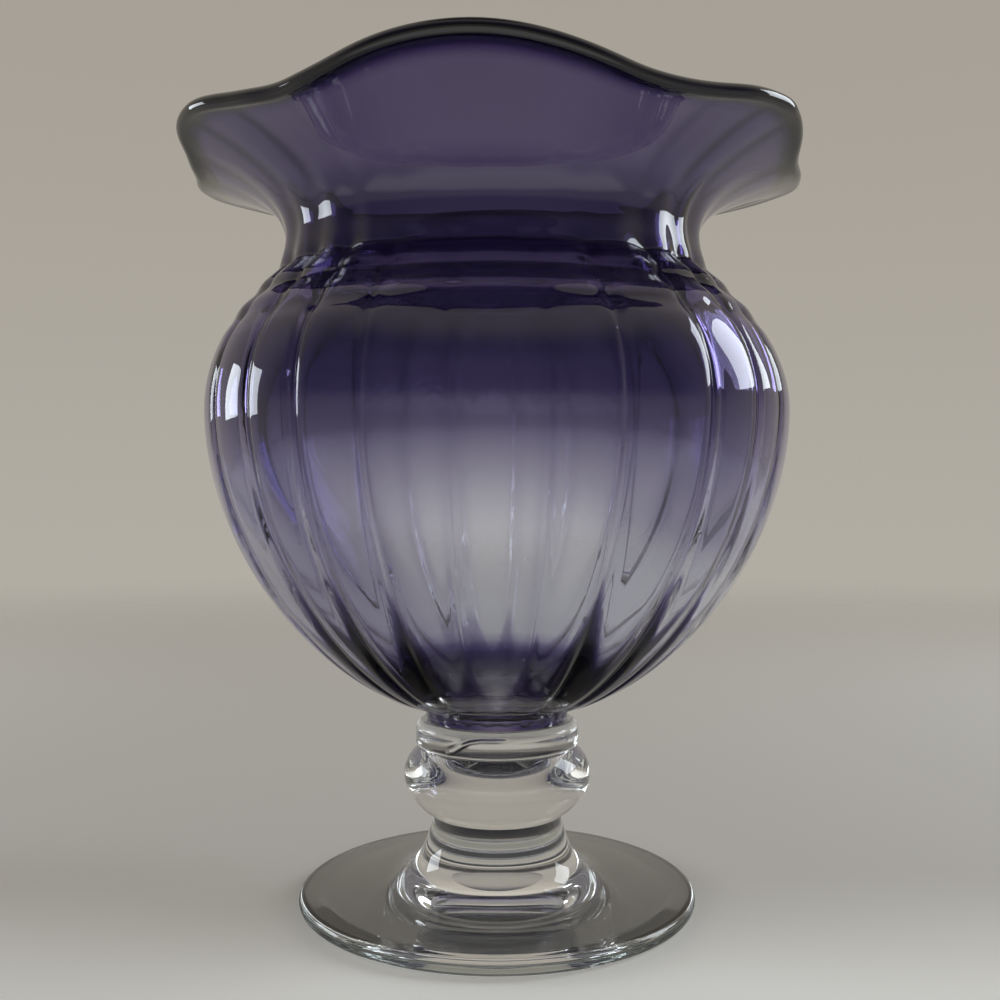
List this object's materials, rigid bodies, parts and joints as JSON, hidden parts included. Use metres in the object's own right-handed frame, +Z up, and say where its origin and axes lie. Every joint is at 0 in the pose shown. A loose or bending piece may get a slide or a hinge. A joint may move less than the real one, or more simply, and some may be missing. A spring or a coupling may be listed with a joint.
{
  "type": "art glass vase",
  "caption": "Footed blown-glass vase with a ribbed violet bowl, ruffled flared mouth, clear collar, solid clear knop and clear flared foot.",
  "frame": {"origin": "middle of the foot's underside, on the surface that the vase stands on", "axes": "+Z up through the mouth, -Y towards the lobe of the mouth that faces the viewer"},
  "size_m": [0.2175, 0.2227, 0.2534],
  "materials": {
    "clear_glass_foot": "fire-polished clear glass",
    "clear_glass_knop": "fire-polished clear glass",
    "clear_glass_collar": "fire-polished clear glass",
    "violet_glass": "fire-polished violet glass, fading to nearly clear low on the bowl"
  },
  "bodies": {
    "root": {"foot": "clear_glass_foot", "knop": "clear_glass_knop", "collar": "clear_glass_collar", "bowl": "violet_glass"}
  },
  "joints": []
}
